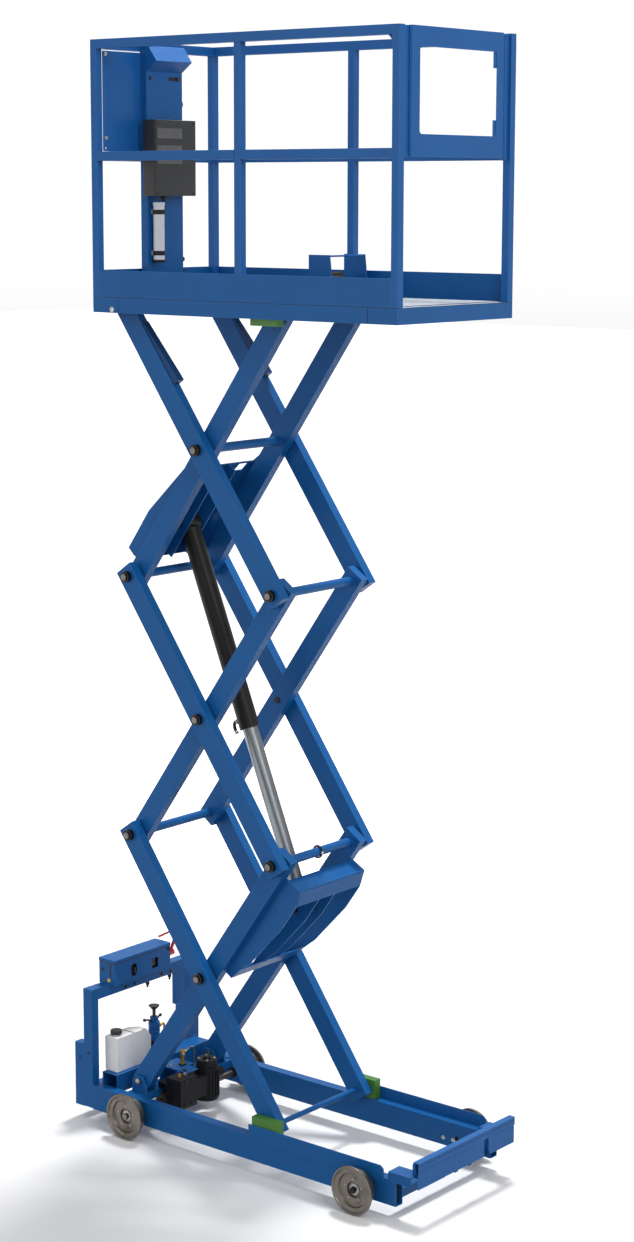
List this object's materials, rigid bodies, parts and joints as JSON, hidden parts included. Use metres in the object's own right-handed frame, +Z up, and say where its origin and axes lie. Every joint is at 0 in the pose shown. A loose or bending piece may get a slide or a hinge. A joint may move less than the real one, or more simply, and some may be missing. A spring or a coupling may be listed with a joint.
{
  "type": "scissor lift work platform",
  "caption": "Raised multi-stage scissor lift platform with guard cage and gate, on a wheeled rail chassis with hydraulic cylinder.",
  "frame": {"origin": "on the floor under the middle of the machine's bounding box, machine raised as stored", "axes": "+X forward, towards the gate end of the platform; +Y across the machine; +Z up"},
  "size_m": [2.005, 0.888, 4.9408],
  "materials": {
    "blue_paint": "satin powder coat",
    "light_blue_paint": "satin powder coat",
    "slider_green": "matte moulded polyamide",
    "pin_steel": "turned steel, dull",
    "collar_black": "black oxide",
    "wheel_steel": "machined, dull",
    "barrel_black": "satin black",
    "rod_grey": "ground rod, grey",
    "tank_white": "translucent moulded polyethylene",
    "black_plastic": "fine grain",
    "pump_black": "painted castings",
    "bush_bronze": "sintered bronze",
    "lever_red": "dipped vinyl",
    "tube_white": "smooth tube",
    "floor_plate": "tread plate"
  },
  "bodies": {
    "chassis": {"side_beams": "blue_paint", "slide_guides": "blue_paint", "rear_posts": "blue_paint", "rear_top_bar": "blue_paint", "cross_members": "blue_paint", "pivot_brackets": "blue_paint", "base_pins": "pin_steel", "bumper": "light_blue_paint", "bumper_brackets": "blue_paint", "control_box": "blue_paint", "oil_tank": "tank_white", "hand_pump": "blue_paint", "power_pack": "pump_black", "pump_motor": "pump_black", "axle_bearings": "pump_black"},
    "tank_cap": {"tank_cap": "black_plastic"},
    "key_switch": {"key_switch": "black_plastic"},
    "lowering_lever": {"lowering_lever": "lever_red"},
    "pump_handle": {"pump_handle": "black_plastic"},
    "front_wheel_near": {"front_wheel_near": "wheel_steel"},
    "front_wheel_far": {"front_wheel_far": "wheel_steel"},
    "rear_wheelset": {"rear_wheels": "wheel_steel", "rear_axle": "pin_steel"},
    "inner_arms_1": {"b1_arms": "blue_paint", "b1_cross_tube": "blue_paint", "b1_cylinder_mount": "blue_paint", "b1_pins": "collar_black"},
    "outer_arms_1": {"a1_arms": "blue_paint", "a1_bushes": "bush_bronze"},
    "base_sliders": {"base_slider_blocks": "slider_green", "base_slider_shaft": "pin_steel"},
    "outer_arms_2": {"a2_arms": "blue_paint", "a2_bushes": "bush_bronze"},
    "inner_arms_2": {"b2_arms": "blue_paint", "b2_cross_tubes": "blue_paint", "b2_pins": "collar_black"},
    "outer_arms_3": {"a3_arms": "blue_paint", "a3_bushes": "bush_bronze"},
    "inner_arms_3": {"b3_arms": "blue_paint", "b3_cross_tubes": "blue_paint", "b3_cylinder_mount": "blue_paint", "b3_pins": "collar_black"},
    "top_sliders": {"top_sliders": "slider_green"},
    "cylinder_barrel": {"cylinder_barrel": "barrel_black"},
    "cylinder_rod": {"cylinder_rod": "rod_grey", "cylinder_piston": "pin_steel"},
    "platform": {"platform_frame": "blue_paint", "platform_floor": "floor_plate", "toe_boards": "blue_paint", "guard_posts": "light_blue_paint", "guard_rails": "light_blue_paint", "back_panel": "light_blue_paint", "control_column": "blue_paint", "column_hood": "light_blue_paint", "platform_control_box": "black_plastic", "document_tube": "tube_white", "pedal_guard": "blue_paint"},
    "gate": {"gate": "light_blue_paint"},
    "foot_pedal": {"foot_pedal": "black_plastic"},
    "stop_button": {"stop_button": "black_plastic"}
  },
  "joints": [
    {"name": "lift", "type": "hinge", "parent": "chassis", "child": "inner_arms_1", "pos_m": [-0.6783, 0, 0.2227], "axis": [0, 1, 0], "range_deg": [0, 49.6]},
    {"name": "pivot_c1", "type": "hinge", "parent": "inner_arms_1", "child": "outer_arms_1", "pos_m": [-0.25692, 0, 0.81696], "axis": [0, 1, 0], "range_deg": [-99.25, 0]},
    {"name": "base_slider_pivot", "type": "hinge", "parent": "outer_arms_1", "child": "base_sliders", "pos_m": [0.16447, 0, 0.2227], "axis": [0, 1, 0], "range_deg": [0, 49.65]},
    {"name": "pivot_r1", "type": "hinge", "parent": "inner_arms_1", "child": "outer_arms_2", "pos_m": [0.16447, 0, 1.41122], "axis": [0, 1, 0], "range_deg": [-99.25, 0]},
    {"name": "pivot_c2", "type": "hinge", "parent": "outer_arms_2", "child": "inner_arms_2", "pos_m": [-0.25692, 0, 2.00549], "axis": [0, 1, 0], "range_deg": [0, 99.25]},
    {"name": "pivot_r2", "type": "hinge", "parent": "inner_arms_2", "child": "outer_arms_3", "pos_m": [0.16447, 0, 2.59975], "axis": [0, 1, 0], "range_deg": [-99.25, 0]},
    {"name": "pivot_c3", "type": "hinge", "parent": "outer_arms_3", "child": "inner_arms_3", "pos_m": [-0.25692, 0, 3.19401], "axis": [0, 1, 0], "range_deg": [0, 99.25]},
    {"name": "platform_pivot", "type": "hinge", "parent": "outer_arms_3", "child": "platform", "pos_m": [-0.6783, 0, 3.78827], "axis": [0, 1, 0], "range_deg": [0, 49.65]},
    {"name": "top_slider_pivot", "type": "hinge", "parent": "inner_arms_3", "child": "top_sliders", "pos_m": [0.16447, 0, 3.78827], "axis": [0, 1, 0], "range_deg": [-49.65, 0]},
    {"name": "cylinder_pivot", "type": "hinge", "parent": "inner_arms_3", "child": "cylinder_barrel", "pos_m": [-0.5971, 0, 2.81799], "axis": [0, 1, 0], "range_deg": [-99.33, 0]},
    {"name": "rod_slide", "type": "slide", "parent": "cylinder_barrel", "child": "cylinder_rod", "axis": [-0.3744, 0, 0.9273], "range_m": [0, 0.7902]},
    {"name": "front_wheel_near_spin", "type": "hinge", "parent": "chassis", "child": "front_wheel_near", "pos_m": [0.7105, -0.414, 0.108], "axis": [0, 1, 0], "continuous": true},
    {"name": "front_wheel_far_spin", "type": "hinge", "parent": "chassis", "child": "front_wheel_far", "pos_m": [0.7105, 0.414, 0.108], "axis": [0, 1, 0], "continuous": true},
    {"name": "rear_wheels_spin", "type": "hinge", "parent": "chassis", "child": "rear_wheelset", "pos_m": [-0.6245, 0, 0.108], "axis": [0, 1, 0], "continuous": true},
    {"name": "gate_swing", "type": "hinge", "parent": "platform", "child": "gate", "pos_m": [0.8735, 0.335, 4.69077], "axis": [0, 0, -1], "range_deg": [0, 90]},
    {"name": "foot_pedal_press", "type": "hinge", "parent": "platform", "child": "foot_pedal", "pos_m": [0.128, 0.22, 3.86177], "axis": [0, -1, 0], "range_deg": [0, 12], "stiffness_Nm_per_rad": 8, "springref_deg": -28.65},
    {"name": "stop_button_press", "type": "slide", "parent": "platform", "child": "stop_button", "axis": [0, -1, 0], "range_m": [0, 0.006], "stiffness_N_per_m": 400, "springref_m": -0.004},
    {"name": "key_turn", "type": "hinge", "parent": "chassis", "child": "key_switch", "pos_m": [-0.843, -0.126, 0.687], "axis": [1, 0, 0], "range_deg": [-60, 60]},
    {"name": "lowering_lever_turn", "type": "hinge", "parent": "chassis", "child": "lowering_lever", "pos_m": [-0.8645, 0.14, 0.706], "axis": [0, -1, 0], "range_deg": [0, 25]},
    {"name": "pump_handle_stroke", "type": "slide", "parent": "chassis", "child": "pump_handle", "axis": [0, 0, -1], "range_m": [0, 0.02]},
    {"name": "tank_cap_turn", "type": "hinge", "parent": "chassis", "child": "tank_cap", "pos_m": [-0.845, -0.255, 0.42], "axis": [0, 0, 1], "range_deg": [0, 120]}
  ],
  "couplings": [
    {"joint": "pivot_c1", "follows": "lift", "ratio": -2},
    {"joint": "base_slider_pivot", "follows": "lift", "ratio": 1},
    {"joint": "pivot_r1", "follows": "lift", "ratio": -2},
    {"joint": "pivot_c2", "follows": "lift", "ratio": 2},
    {"joint": "pivot_r2", "follows": "lift", "ratio": -2},
    {"joint": "pivot_c3", "follows": "lift", "ratio": 2},
    {"joint": "platform_pivot", "follows": "lift", "ratio": 1},
    {"joint": "top_slider_pivot", "follows": "lift", "ratio": -1},
    {"joint": "cylinder_pivot", "follows": "lift", "ratio": -2.0015},
    {"joint": "rod_slide", "follows": "lift", "m_per_rad": 0.91169}
  ]
}
